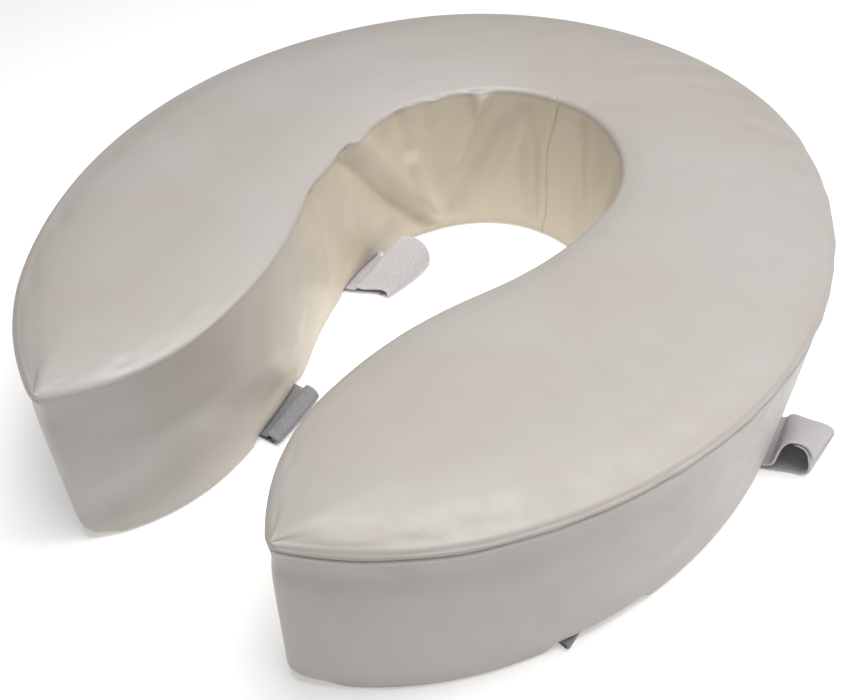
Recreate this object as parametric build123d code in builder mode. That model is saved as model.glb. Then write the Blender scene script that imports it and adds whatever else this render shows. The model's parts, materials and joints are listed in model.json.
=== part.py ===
"""Soft raised toilet seat: a foam horseshoe in a sewn vinyl cover, held on by four
hook-and-loop straps.

Millimetres. +Z is up and +Y points to the back of the toilet, so the open front faces -Y.
The origin is on the underside, at the middle of the cushion's length and width.
"""
from build123d import *
from math import acos, cos, degrees, radians, sin, sqrt
import os

os.makedirs("parts", exist_ok=True)

# ---------------------------------------------------------------- cushion plan
cushion_width = 368.0        # over the outer walls, 14.5 in
outline_half_length = cushion_width * 55 / 92   # of the oval that the outer wall follows
outline_end_radius = 0.75 * outline_half_length  # of that oval's front and rear
tip_half_spacing = 60.0      # from the middle to the point of each arm
tip_radius = 4.0             # the softened vertical corner at each point

# the opening, measured from the middle of the outer oval
hole_half_width = 70.0       # at its widest
hole_widest_y = 33.0
hole_rear_y = hole_widest_y + 1.193 * hole_half_width
hole_rear_radius = hole_half_width * 6 / 7
gap_half_width = 31.5        # half of the gap between the arms, at its narrowest
gap_narrowest_y = -141.0
waist_share = 0.5            # where the S-curve between the two changes side, from the gap

# ---------------------------------------------------------------- cushion section
cushion_height = 100.0       # nominal 4 in lift
cover_thickness = 1.2        # expanded vinyl on a knitted backing
foam_clearance = 0.2         # between the foam and what surrounds it
seam_allowance = 9.0         # turned-in edge of the top and base panels
seam_thread = 0.5            # lockstitch thread, as a square bar
seam_depth = 6.0             # from the panel to the row of stitches

# ---------------------------------------------------------------- straps
strap_width = 38.0           # hook-and-loop tape, 1.5 in
tape_thickness = 1.5
tape_gap = 0.4               # between two tapes that lie on each other
floor_clearance = 0.2        # under the tape that lies on the floor
channel_clearance = 0.1      # between the sewn tape and the channel pressed into the base
channel_side = 1.5           # from the tape's edge to the channel's side
channel_overrun = 10.0       # how far a channel's cut runs past the walls
hinge_clearance = 0.4        # between the two sides of a fold line
tab_sewn_length = 32.0       # of the hook tab, under the base
sewn_end_gap = 2.0           # between the sewn tab and the sewn end of the long tape
foot_bend = 2.5              # radius of a tape as it turns up beside the wall
floor_bend = 4.5             # radius of a loop as it meets the floor
crown_share = 0.45           # where a loop is highest, of its reach
tip_share = 0.6              # how high the tab's tip ends, of its loop's height
tip_inset = 1.0              # from the loop's outermost point to the tab's tip
tip_direction = (0.35, -1)   # of the tab as it ends
mated_shares = (0.95, 0.6, 0.3, 0.0)  # points of the tab that the long tape's end follows
stitch_height = 0.4
stitch_width = 0.8
stitch_inset = 5.0           # from the tape's edges to the stitched box
stitch_box_length = 38.0     # of the box on the long tape

# Each station: where its tape crosses an arm, measured from the middle of the outer oval,
# and the heading of its closing side from +X on the right arm. A loop's reach is counted
# from the wall outwards; a negative reach is a flat fold that stays under the base.
stations = {
    "rear": {
        "middle": (126.0, 23.0), "heading": 5.0,
        "closing_reach": 22.0, "closing_height": 20.0, "fold_reach": 22.0, "fold_height": 18.0,
    },
    "front": {
        "middle": (96.0, -105.0), "heading": 172.0,
        "closing_reach": 13.0, "closing_height": 14.0, "fold_reach": -16.0, "fold_height": 0.0,
    },
}

# ---------------------------------------------------------------- derived levels
outline_half_width = cushion_width / 2
panel_top = cushion_height - cover_thickness
half_tape = tape_thickness / 2
tape_step = tape_thickness + tape_gap
hinge_cut = half_tape + hinge_clearance
run_z = floor_clearance + half_tape
stitch_bottom = run_z + half_tape + tape_gap
sewn_bottom = stitch_bottom + stitch_height
sewn_z = sewn_bottom + half_tape
channel_height = sewn_z + half_tape + channel_clearance
channel_top = channel_height + cover_thickness
channel_half_width = strap_width / 2 + channel_side


# ---------------------------------------------------------------- plan outline
def oval_side_radius(half_width, half_length, end_radius):
    """Radius of the side arc that meets an oval's end arc smoothly."""
    end_offset = half_length - end_radius
    return (end_radius**2 - half_width**2 - end_offset**2) / (2 * (end_radius - half_width))


def oval_joint(half_width, half_length, end_radius):
    """Where an oval's side arc meets its rear end arc, from the oval's middle."""
    side_radius = oval_side_radius(half_width, half_length, end_radius)
    side_centre = Vector(half_width - side_radius, 0)
    end_centre = Vector(0, half_length - end_radius)
    return side_centre + (end_centre - side_centre).normalized() * side_radius


def plan_outline():
    """The horseshoe seen from above, about the middle of its outer oval, all in arcs."""
    outer_joint = oval_joint(outline_half_width, outline_half_length, outline_end_radius)
    front_joint = Vector(outer_joint.X, -outer_joint.Y)
    rear = Vector(0, outline_half_length)
    side = Vector(outline_half_width, 0)
    end_centre_y = outline_half_length - outline_end_radius
    tip_drop = sqrt(outline_end_radius**2 - tip_half_spacing**2)
    tip = Vector(tip_half_spacing, -end_centre_y - tip_drop)

    hole_side = Vector(hole_half_width, hole_widest_y)
    hole_joint = Vector(0, hole_widest_y) + oval_joint(
        hole_half_width, hole_rear_y - hole_widest_y, hole_rear_radius
    )
    waist = Vector(gap_half_width, gap_narrowest_y)
    s_middle = waist + (hole_side - waist) * waist_share

    with BuildSketch() as sketch:
        with BuildLine():
            outer_rear = TangentArc(rear, outer_joint, tangent=(1, 0))
            TangentArc(outer_joint, side, tangent=outer_rear % 1)
            outer_side = TangentArc(side, front_joint, tangent=(0, -1))
            TangentArc(front_joint, tip, tangent=outer_side % 1)
            hole_rear = TangentArc((0, hole_rear_y), hole_joint, tangent=(1, 0))
            TangentArc(hole_joint, hole_side, tangent=hole_rear % 1)
            s_upper = TangentArc(hole_side, s_middle, tangent=(0, -1))
            TangentArc(s_middle, waist, tangent=s_upper % 1)
            TangentArc(waist, tip, tangent=(0, -1))
            Line((0, hole_rear_y), rear)
        make_face()
        mirror(about=Plane.YZ)
        fillet(sketch.vertices().group_by(Axis.Y)[0], radius=tip_radius)
    return sketch.sketch


oval_outline = plan_outline()
oval_shift = -oval_outline.bounding_box().center().Y
outline = Pos(0, oval_shift) * oval_outline


def inset_outline(distance):
    """The same horseshoe, with its edge moved in all round."""
    return offset(outline, amount=-distance, kind=Kind.INTERSECTION)


cover_inside = inset_outline(cover_thickness)
allowance_inside = inset_outline(2 * cover_thickness)
thread_inside = inset_outline(2 * cover_thickness + seam_thread)
foam_outline = inset_outline(cover_thickness + foam_clearance)
foam_rebate_outline = inset_outline(2 * cover_thickness + seam_thread + foam_clearance)


# ---------------------------------------------------------------- strap crossings
def station_plane(station, side):
    """Upright plane of a strap: X along the tape to its closing side, Y up."""
    middle_x, middle_y = station["middle"]
    heading = radians(station["heading"])
    along = Vector(side * cos(heading), sin(heading), 0)
    across = Vector(along.Y, -along.X, 0)
    return Plane(origin=(side * middle_x, middle_y + oval_shift, 0), x_dir=along, z_dir=across)


def crossing(plane):
    """How far the arm reaches each way under a tape: (fold wall, closing wall)."""
    floor_plane = Plane(origin=plane.origin, x_dir=plane.x_dir, z_dir=(0, 0, 1))
    band = floor_plane * Rectangle(cushion_width, strap_width)
    arm = floor_plane.to_local_coords(outline & band)
    nearest = min(arm.faces(), key=lambda face: face.center().length)
    reach = nearest.bounding_box()
    return reach.min.X, reach.max.X


def channel_block(plane, half_width, height):
    """A block along a tape's path, from the floor up, past both walls of the arm."""
    fold_wall, closing_wall = crossing(plane)
    start = fold_wall - channel_overrun
    end = closing_wall + channel_overrun
    with BuildPart() as block:
        with BuildSketch(plane):
            with BuildLine():
                Polyline((start, 0), (end, 0), (end, height), (start, height), close=True)
            make_face()
        extrude(amount=half_width, both=True)
    return block.part


strap_planes = {
    f"{side_name}_{station_name}": (station, station_plane(station, side))
    for station_name, station in stations.items()
    for side_name, side in (("right", 1), ("left", -1))
}


def all_channels(half_width, height):
    """The blocks of every strap, as one list."""
    return [channel_block(plane, half_width, height) for station, plane in strap_planes.values()]


channels = all_channels(channel_half_width, channel_height)
trays = all_channels(channel_half_width + cover_thickness, channel_top)
foam_channels = all_channels(
    channel_half_width + cover_thickness + foam_clearance, channel_top + foam_clearance
)
raised_slab = extrude(outline, amount=channel_top)
raised_bands = [tray & raised_slab for tray in trays]


# ---------------------------------------------------------------- cushion
def foam_core():
    """The cut foam, stepped in where the seam allowances lie, channelled under the tapes."""
    step_bottom = cover_thickness + seam_allowance + foam_clearance
    step_top = panel_top - seam_allowance - foam_clearance
    with BuildPart() as foam:
        with BuildSketch(Plane.XY.offset(cover_thickness + foam_clearance)):
            add(foam_rebate_outline)
        extrude(amount=panel_top - cover_thickness - 2 * foam_clearance)
        with BuildSketch(Plane.XY.offset(step_bottom)):
            add(foam_outline)
        extrude(amount=step_top - step_bottom)
        add(foam_channels, mode=Mode.SUBTRACT)
    return foam.part


def top_cover():
    """The top panel, with its edge turned down inside the side strip."""
    with BuildPart() as cover:
        with BuildSketch(Plane.XY.offset(panel_top)):
            add(outline)
        extrude(amount=cover_thickness)
        with BuildSketch(Plane.XY.offset(panel_top - seam_allowance)):
            add(cover_inside)
            add(allowance_inside, mode=Mode.SUBTRACT)
        extrude(amount=seam_allowance)
    return cover.part


def base_cover():
    """The base panel, with its edge turned up and a channel pressed in over each tape."""
    with BuildPart() as cover:
        with BuildSketch():
            add(outline)
        extrude(amount=cover_thickness)
        add(raised_bands)
        with BuildSketch(Plane.XY.offset(cover_thickness)):
            add(cover_inside)
            add(allowance_inside, mode=Mode.SUBTRACT)
        extrude(amount=seam_allowance)
        add(channels, mode=Mode.SUBTRACT)
    return cover.part


def side_cover():
    """One strip round both walls, open by a stitch's width at the middle of the rear wall."""
    with BuildPart() as cover:
        with BuildSketch(Plane.XY.offset(cover_thickness)):
            add(outline)
            add(cover_inside, mode=Mode.SUBTRACT)
        extrude(amount=panel_top - cover_thickness)
        add(trays, mode=Mode.SUBTRACT)
        with BuildSketch():
            with Locations((0, hole_rear_y + oval_shift + cover_thickness / 2)):
                Rectangle(seam_thread, 2 * cover_thickness)
        extrude(amount=cushion_height, mode=Mode.SUBTRACT)
    return cover.part


def seam_ring(height):
    """The row of stitches inside the turned-in edge, all round at one height."""
    with BuildPart() as ring:
        with BuildSketch(Plane.XY.offset(height - seam_thread / 2)):
            add(allowance_inside)
            add(thread_inside, mode=Mode.SUBTRACT)
        extrude(amount=seam_thread)
    return ring.part


def closing_seam():
    """The upright row of stitches that joins the two ends of the side strip."""
    with BuildPart() as seam:
        with BuildSketch(Plane.XY.offset(cover_thickness)):
            with Locations((0, hole_rear_y + oval_shift + cover_thickness / 2)):
                Rectangle(seam_thread, seam_thread)
        extrude(amount=panel_top - cover_thickness)
    return seam.part


# ---------------------------------------------------------------- straps
def fold_end(station, fold_wall):
    """Where the sewn tape's fold comes down on the floor, along the tape."""
    if station["fold_reach"] > 0:
        return fold_wall - station["fold_reach"] + half_tape + floor_bend
    return fold_wall - station["fold_reach"] + half_tape + (sewn_z - run_z) / 2


def crown(station, closing_wall):
    """The highest point of the closing loop, where the tab's free end folds."""
    along = closing_wall + crown_share * station["closing_reach"]
    return Vector(along, station["closing_height"] - half_tape)


def fold_axis_point(station, plane):
    """The run's fold line, in the strap's plane."""
    fold_wall, closing_wall = crossing(plane)
    return Vector(fold_end(station, fold_wall) + hinge_cut, run_z)


def tape(plane, line, hinge=None):
    """A tape as wide as the strap along a line, rounded where it turns on a fold line."""
    with BuildPart() as strip:
        with BuildSketch(plane):
            trace(line, line_width=tape_thickness)
            if hinge is not None:
                with Locations(hinge):
                    Circle(half_tape)
        extrude(amount=strap_width / 2, both=True)
    return strip.part


def sewn_strap_line(station, fold_wall, closing_wall):
    """The long tape's sewn end: under the base, out past the wall, over and down to the floor."""
    sewn_end = (closing_wall - tab_sewn_length - sewn_end_gap, sewn_z)
    floor_end = (fold_end(station, fold_wall), run_z)
    with BuildLine() as path:
        if station["fold_reach"] > 0:
            outer = fold_wall - station["fold_reach"] + half_tape
            top = (fold_wall - crown_share * station["fold_reach"], station["fold_height"] - half_tape)
            Line(sewn_end, (fold_wall, sewn_z))
            RadiusArc((fold_wall, sewn_z), (fold_wall - foot_bend, sewn_z + foot_bend), foot_bend)
            Spline(
                (fold_wall - foot_bend, sewn_z + foot_bend), top, (outer, run_z + floor_bend),
                tangents=((0, 1), (-1, 0), (0, -1)),
            )
            RadiusArc((outer, run_z + floor_bend), floor_end, -floor_bend)
        else:
            Line(sewn_end, (floor_end[0], sewn_z))
            RadiusArc((floor_end[0], sewn_z), floor_end, -(sewn_z - run_z) / 2)
    return path.line


def tab_sewn_line(station, closing_wall):
    """The hook tab's sewn end: under the base, out past the wall and up to its crown."""
    top = crown(station, closing_wall)
    with BuildLine() as path:
        Line((closing_wall - tab_sewn_length, sewn_z), (closing_wall, sewn_z))
        RadiusArc(
            (closing_wall, sewn_z), (closing_wall + foot_bend, sewn_z + foot_bend), -foot_bend
        )
        Spline(
            (closing_wall + foot_bend, sewn_z + foot_bend), (top.X - hinge_cut, top.Y),
            tangents=((0, 1), (1, 0)),
        )
    return path.line


def tab_free_line(station, closing_wall):
    """The hook tab's free end: from the crown down over the long tape's end."""
    tip = (
        closing_wall + station["closing_reach"] - tip_inset,
        tip_share * station["closing_height"],
    )
    with BuildLine() as path:
        Spline(crown(station, closing_wall), tip, tangents=((1, 0), tip_direction))
    return path.line


def free_run_line(station, fold_wall, closing_wall):
    """The long tape's free run: along the floor, then up under the hook tab."""
    outer = closing_wall + station["closing_reach"] - half_tape
    tab = tab_free_line(station, closing_wall).edge()
    mated = []
    for share in mated_shares:
        direction = tab % share
        inward = Vector(direction.Y, -direction.X)
        mated.append((tab @ share + inward * tape_step, direction * -1))
    with BuildLine() as path:
        Line((fold_end(station, fold_wall) + hinge_cut, run_z), (outer - floor_bend, run_z))
        RadiusArc((outer - floor_bend, run_z), (outer, run_z + floor_bend), -floor_bend)
        Spline(
            (outer, run_z + floor_bend), *[point for point, tangent in mated],
            tangents=[(0, 1)] + [tangent for point, tangent in mated],
        )
    return path.line


def stitched_box(plane, along, length):
    """A stitched rectangle with a cross in it, on the lower face of a sewn tape."""
    floor_plane = Plane(origin=plane.origin, x_dir=plane.x_dir, z_dir=(0, 0, 1))
    width = strap_width - 2 * stitch_inset
    diagonal = Vector(length, width)
    slope = degrees(acos(length / diagonal.length))
    with BuildPart() as box:
        with BuildSketch(floor_plane.offset(stitch_bottom)):
            with Locations((along + length / 2, 0)):
                Rectangle(length, width)
                Rectangle(length - 2 * stitch_width, width - 2 * stitch_width, mode=Mode.SUBTRACT)
                Rectangle(diagonal.length - stitch_width, stitch_width, rotation=slope)
                Rectangle(diagonal.length - stitch_width, stitch_width, rotation=-slope)
        extrude(amount=stitch_height)
    return box.part


def strap_parts(name, station, plane):
    """The five pieces of one strap, by node name."""
    fold_wall, closing_wall = crossing(plane)
    top = crown(station, closing_wall)
    fold_line = fold_axis_point(station, plane)
    sewn_start = max(fold_wall, fold_end(station, fold_wall)) + stitch_inset
    tab_start = closing_wall - tab_sewn_length + stitch_inset
    stitching = Compound([
        stitched_box(plane, sewn_start, stitch_box_length).solid(),
        stitched_box(plane, tab_start, tab_sewn_length - 2 * stitch_inset).solid(),
    ])
    sewn_line = sewn_strap_line(station, fold_wall, closing_wall)
    run_line = free_run_line(station, fold_wall, closing_wall)
    return {
        f"{name}_strap_sewn_end": tape(plane, sewn_line),
        f"{name}_strap_free_run": tape(plane, run_line, fold_line),
        f"{name}_tab_sewn_end": tape(plane, tab_sewn_line(station, closing_wall)),
        f"{name}_tab_free_end": tape(plane, tab_free_line(station, closing_wall), top),
        f"{name}_strap_stitching": stitching,
    }


# ---------------------------------------------------------------- the pieces
pieces = {
    "foam_core": foam_core(),
    "top_cover": top_cover(),
    "side_cover": side_cover(),
    "base_cover": base_cover(),
    "top_seam_thread": seam_ring(panel_top - seam_depth),
    "base_seam_thread": seam_ring(cover_thickness + seam_depth),
    "closing_seam_thread": closing_seam(),
}
for strap_name, (strap_station, strap_plane) in strap_planes.items():
    pieces.update(strap_parts(strap_name, strap_station, strap_plane))

for piece_name, piece in pieces.items():
    piece.label = piece_name
    export_step(piece, f"parts/{piece_name}.step")
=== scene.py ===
# %% [markdown]
# # A soft raised toilet seat
# The object is a thick foam horseshoe in a sewn vinyl cover. Hook-and-loop straps hold it on a
# toilet's own seat ring. The imported CAD model gives every place and size, and this lesson builds
# the looks round it: a padded cover swollen by cloth simulation, the foam inside it, and woven
# tapes folded where the CAD joints lie.

# %% Load the frame
import json
import math

import bmesh
import bpy
import numpy as np
from mathutils import Matrix, Vector


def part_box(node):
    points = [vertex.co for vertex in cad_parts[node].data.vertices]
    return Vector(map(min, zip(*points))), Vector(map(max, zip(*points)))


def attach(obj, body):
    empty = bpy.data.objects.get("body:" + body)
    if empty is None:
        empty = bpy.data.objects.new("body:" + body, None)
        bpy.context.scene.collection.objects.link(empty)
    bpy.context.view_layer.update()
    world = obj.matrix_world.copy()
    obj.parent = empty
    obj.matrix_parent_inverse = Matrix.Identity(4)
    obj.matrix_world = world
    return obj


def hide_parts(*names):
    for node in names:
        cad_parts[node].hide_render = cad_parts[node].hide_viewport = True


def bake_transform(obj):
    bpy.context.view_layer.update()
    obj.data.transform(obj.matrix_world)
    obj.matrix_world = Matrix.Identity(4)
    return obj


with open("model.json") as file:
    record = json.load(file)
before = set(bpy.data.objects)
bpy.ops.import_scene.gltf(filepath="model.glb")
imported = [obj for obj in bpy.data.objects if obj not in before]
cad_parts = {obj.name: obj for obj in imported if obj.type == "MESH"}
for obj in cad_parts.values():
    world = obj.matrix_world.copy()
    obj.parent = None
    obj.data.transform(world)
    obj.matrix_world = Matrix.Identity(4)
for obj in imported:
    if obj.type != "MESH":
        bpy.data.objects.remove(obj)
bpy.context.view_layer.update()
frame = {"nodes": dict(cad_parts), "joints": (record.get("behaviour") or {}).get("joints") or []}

MM = 0.001

# %% [markdown]
# ## Camera
# The seat is seen from the front right and from well above, close enough for strong
# perspective. A plain camera at that place with a small shift frames it. The lens is given as
# the focal length over the frame's width, and the roll is the slight tilt of a hand-held view.

# %% Camera
camera_place = Vector((0.2047, -0.3380, 0.3716))
camera_heading = math.radians(33.54)
camera_pitch = math.radians(43.64)
camera_roll = math.radians(0.69)
focal_over_width = 1.1071

toward = Vector((
    -math.sin(camera_heading) * math.cos(camera_pitch),
    math.cos(camera_heading) * math.cos(camera_pitch),
    -math.sin(camera_pitch),
))
camera_data = bpy.data.cameras.new("camera")
camera_data.lens = focal_over_width * camera_data.sensor_width
camera_data.shift_x = 0.0069
camera_data.shift_y = -0.0154
camera = bpy.data.objects.new("camera", camera_data)
camera_turn = toward.to_track_quat("-Z", "Y").to_matrix() @ Matrix.Rotation(camera_roll, 3, "Z")
camera.matrix_world = Matrix.Translation(camera_place) @ camera_turn.to_4x4()
bpy.context.collection.objects.link(camera)
bpy.context.scene.camera = camera

# %% [markdown]
# ## Making a mesh from arrays
# Every new piece is a surface worked out as whole arrays and handed to one mesh in one go. A
# grid of points becomes quads by joining each point to its neighbours along both directions.

# %% Mesh helpers
def grid_faces(rows, columns, closed=False, start=0):
    """Quads of a rows x columns grid of points, numbered row by row from start. With closed, the
    last column joins the first."""
    number = np.arange(rows * columns).reshape(rows, columns) + start
    right = np.roll(number, -1, axis=1) if closed else number[:, 1:]
    left = number if closed else number[:, :-1]
    quads = np.stack([left[:-1], right[:-1], right[1:], left[1:]], axis=-1)
    return quads.reshape(-1, 4)


def mesh_piece(name, points, faces, smooth=True):
    """A new object at the origin with these points, in metres, and these faces."""
    mesh = bpy.data.meshes.new(name)
    mesh.from_pydata(np.asarray(points, float).tolist(), [], [list(map(int, f)) for f in faces])
    mesh.polygons.foreach_set("use_smooth", np.full(len(mesh.polygons), smooth))
    mesh.update()
    piece = bpy.data.objects.new(name, mesh)
    bpy.context.collection.objects.link(piece)
    return piece


def read_points(piece):
    """The piece's points as an array of three columns."""
    points = np.empty(len(piece.data.vertices) * 3)
    piece.data.vertices.foreach_get("co", points)
    return points.reshape(-1, 3)


def write_points(piece, points):
    """Moves the piece's points to those of an array of the same length."""
    piece.data.vertices.foreach_set("co", np.asarray(points, float).ravel())
    piece.data.update()


def point_attribute(piece, name, values):
    """Keeps one number for each point, which a material can read by name."""
    attribute = piece.data.attributes.new(name, "FLOAT", "POINT")
    attribute.data.foreach_set("value", np.asarray(values, float).ravel().astype(np.float32))


def read_attribute(piece, name):
    """One stored number for each point."""
    values = np.empty(len(piece.data.vertices), np.float32)
    piece.data.attributes[name].data.foreach_get("value", values)
    return values.astype(float)


def apply_modifiers(piece):
    """Replaces the piece's mesh by what its modifiers make of it."""
    graph = bpy.context.evaluated_depsgraph_get()
    graph.update()
    made = bpy.data.meshes.new_from_object(piece.evaluated_get(graph))
    piece.modifiers.clear()
    old = piece.data
    piece.data = made
    bpy.data.meshes.remove(old)


def smoothstep(low, high, value):
    """0 below low, 1 above high, and the cubic 3t^2 - 2t^3 between them."""
    t = np.clip((value - low) / (high - low), 0, 1)
    return t * t * (3 - 2 * t)


# %% [markdown]
# ## The plan of the horseshoe
# A pattern cutter draws this shape with a few arcs that meet smoothly, so it is written the
# same way here, half by half: one path round the outside and one round the opening, both from
# the middle of the back to the point of the right arm. The width comes from the frame.

# %% Plan outline
cover_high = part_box("side_cover")[1]
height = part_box("top_cover")[1].z / MM
half_width = cover_high.x / MM
half_length = 220.0
end_radius = 165.0
plan_shift = cover_high.y / MM - half_length
tip_half_spacing = 60.0
tip_cut = 6.0
hole_half_width = 70.0
hole_widest_y = 33.0
hole_rear_y = 116.5
hole_rear_radius = 60.0
gap_half_width = 31.5
gap_narrowest_y = -141.0


def tangent_arc(start, direction, end, count=80):
    """The circular arc that leaves start along direction and reaches end: its radius is the
    chord squared over twice the chord's part across the direction. Also its last direction."""
    start, end = np.asarray(start, float), np.asarray(end, float)
    direction = np.asarray(direction, float) / np.hypot(*direction)
    across = np.array([-direction[1], direction[0]])
    chord = end - start
    radius = chord @ chord / (2 * chord @ across)
    sweep = 2 * math.atan2(chord @ across, chord @ direction)
    angle = np.linspace(0, sweep, count)[:, None]
    arm = -across * radius
    turned = np.array([-arm[1], arm[0]])
    centre = start + across * radius
    points = centre + arm * np.cos(angle) + turned * np.sin(angle)
    return points, direction * math.cos(sweep) + across * math.sin(sweep)


def oval_joint(half_wide, half_long, radius):
    """Where an oval's side arc meets its rear arc of the given radius, from its middle."""
    rise = half_long - radius
    side_radius = (radius**2 - half_wide**2 - rise**2) / (2 * (radius - half_wide))
    side_centre = np.array([half_wide - side_radius, 0.0])
    toward_joint = np.array([0.0, rise]) - side_centre
    return side_centre + toward_joint / np.hypot(*toward_joint) * side_radius


def arc_chain(start, direction, *stops):
    """Smoothly joined arcs from start through every stop."""
    chain = [np.array([start], float)]
    for stop in stops:
        points, direction = tangent_arc(chain[-1][-1], direction, stop)
        chain.append(points[1:])
    return np.concatenate(chain)


def path_length(path):
    """Distance along a path at each of its points."""
    steps = np.linalg.norm(np.diff(path, axis=0), axis=1)
    return np.concatenate([[0.0], np.cumsum(steps)])


def resample(path, positions):
    """The path's points at these distances along it."""
    length = path_length(path)
    return np.stack([np.interp(positions, length, path[:, k]) for k in range(path.shape[1])], 1)


outer_joint = oval_joint(half_width, half_length, end_radius)
tip = np.array([
    tip_half_spacing,
    end_radius - half_length - math.sqrt(end_radius**2 - tip_half_spacing**2),
])
outer_path = np.concatenate([
    arc_chain((0, half_length), (1, 0), outer_joint, (half_width, 0)),
    arc_chain((half_width, 0), (0, -1), outer_joint * (1, -1), tip)[1:],
])
hole_joint = np.array([0, hole_widest_y]) + oval_joint(
    hole_half_width, hole_rear_y - hole_widest_y, hole_rear_radius
)
waist = np.array([gap_half_width, gap_narrowest_y])
hole_side = np.array([hole_half_width, hole_widest_y])
inner_path = np.concatenate([
    arc_chain((0, hole_rear_y), (1, 0), hole_joint, hole_side),
    arc_chain(hole_side, (0, -1), (waist + hole_side) / 2, waist)[1:],
    arc_chain(waist, (0, -1), tip)[1:],
])


def soften_tip(outer, inner):
    """Cuts both paths back from the point they share and joins them by a quadratic curve, half
    on each path."""
    outer_end = resample(outer, [path_length(outer)[-1] - tip_cut])
    inner_end = resample(inner, [path_length(inner)[-1] - tip_cut])
    t = np.linspace(0, 1, 21)[:, None]
    curve = (1 - t) ** 2 * outer_end + 2 * t * (1 - t) * outer[-1] + t**2 * inner_end
    keep_outer = path_length(outer) < path_length(outer)[-1] - tip_cut
    keep_inner = path_length(inner) < path_length(inner)[-1] - tip_cut
    return (
        np.concatenate([outer[keep_outer], curve[:11]]),
        np.concatenate([inner[keep_inner], curve[:9:-1]]),
    )


outer_path, inner_path = soften_tip(outer_path, inner_path)
outer_path = outer_path + (0, plan_shift)
inner_path = inner_path + (0, plan_shift)
outer_length = path_length(outer_path)[-1]
inner_length = path_length(inner_path)[-1]
print("half paths:", round(outer_length), "mm outside,", round(inner_length), "mm inside")


# %% [markdown]
# ## The cover as a surface
# The cover is a tube. Its section is a rounded box, carried from the point of one arm round
# the back to the point of the other, where the box closes to an upright line. One parameter
# runs along the arms and the other runs round the section: up the outer wall, over the top,
# down the inner wall and back under the base. The rows lie closer together beside the seams.

# %% Cover surface
top_radius = 4.5
base_radius = 3.5
rows_per_half = 96


def quarter(centre_out, centre_up, radius, start, count):
    """A quarter circle of the section, from the angle start towards the right."""
    angle = np.radians(start - np.linspace(0, 90, count + 2)[1:-1])
    return centre_out + radius * np.cos(angle), centre_up + radius * np.sin(angle)


def section(width, top, corner, foot, columns=24):
    """(distance from the outer wall, height) round one section of an arm of this width. The
    corners are quarter circles no wider than the arm allows."""
    corner = min(corner, 0.42 * width)
    foot = min(foot, 0.42 * width)
    wall = np.concatenate([
        np.linspace(foot, 9, 5)[:-1],
        np.linspace(9, top - 11, 18)[:-1],
        np.linspace(top - 11, top - corner, 7),
    ])
    across = np.sin(np.linspace(-math.pi / 2, math.pi / 2, columns)) * 0.5 + 0.5
    over = 0.45 * across + 0.55 * np.linspace(0, 1, columns)
    top_run = corner + over * (width - 2 * corner)
    base_run = foot + over[::-1] * (width - 2 * foot)
    parts = [
        (np.zeros(len(wall)), wall),
        quarter(corner, top - corner, corner, 180, 6),
        (top_run, np.full(columns, top)),
        quarter(width - corner, top - corner, corner, 90, 6),
        (np.full(len(wall), width), wall[::-1]),
        quarter(width - foot, foot, foot, 0, 3),
        (base_run, np.zeros(columns)),
        quarter(foot, foot, foot, -90, 3),
    ]
    return np.concatenate([p[0] for p in parts]), np.concatenate([p[1] for p in parts])


def arm_rows(rows):
    """Matching points of the outer and inner walls from the right point round to the left."""
    share = np.linspace(0, 1, rows)
    outer = resample(outer_path, share * path_length(outer_path)[-1])[::-1]
    inner = resample(inner_path, share * path_length(inner_path)[-1])[::-1]
    mirror = np.array([-1.0, 1.0])
    return (
        np.concatenate([outer, outer[-2::-1] * mirror]),
        np.concatenate([inner, inner[-2::-1] * mirror]),
    )


def pull_tips(outer, inner, pull):
    """Both walls with the two points drawn back into the arms by pull, fading over 45 mm."""
    middle = (outer + inner) / 2
    shift = np.zeros_like(middle)
    for tip_point, behind in ((middle[0], middle[9]), (middle[-1], middle[-10])):
        away = np.linalg.norm(middle - tip_point, axis=1)
        back = (behind - tip_point) / np.linalg.norm(behind - tip_point)
        shift += (pull * (1 - smoothstep(0, 45, away)))[:, None] * back
    return outer + shift, inner + shift


def horseshoe(rows, inset, bottom, top, corner, foot, pull=0.0):
    """The tube as a grid of points in millimetres, its walls moved in by inset, and for each
    point its distances from the two walls."""
    outer, inner = pull_tips(*arm_rows(rows), pull)
    width = np.linalg.norm(inner - outer, axis=1)
    toward_inner = (inner - outer) / np.maximum(width, 1e-6)[:, None]
    inset = np.minimum(inset, 0.45 * width)
    outer = outer + toward_inner * inset[:, None]
    sections = [section(w, top - bottom, corner, foot) for w in width - 2 * inset]
    out = np.array([s[0] for s in sections])
    up = np.array([s[1] for s in sections]) + bottom
    plan = outer[:, None, :] + toward_inner[:, None, :] * out[:, :, None]
    points = np.concatenate([plan, up[:, :, None]], axis=2)
    return points, out, np.maximum((width - 2 * inset)[:, None] - out, 0)


def closed_tube(name, tube):
    """A mesh from the tube, its two ends merged into upright lines. Each point keeps, in
    millimetres, its signed place along both walls, its distance from each wall and its
    height before any swelling."""
    grid, from_outer, from_inner = tube
    rows, columns = grid.shape[:2]
    piece = mesh_piece(name, grid.reshape(-1, 3) * MM, grid_faces(rows, columns, closed=True))
    place = np.linspace(1, -1, rows)[:, None] * np.ones(columns)
    point_attribute(piece, "along_outer", place * path_length(outer_path)[-1])
    point_attribute(piece, "along_inner", place * path_length(inner_path)[-1])
    point_attribute(piece, "from_outer", from_outer)
    point_attribute(piece, "from_inner", from_inner)
    point_attribute(piece, "flat_height", grid[:, :, 2])
    weld = piece.modifiers.new("weld", "WELD")
    weld.merge_threshold = 0.02 * MM
    apply_modifiers(piece)
    return piece


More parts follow.
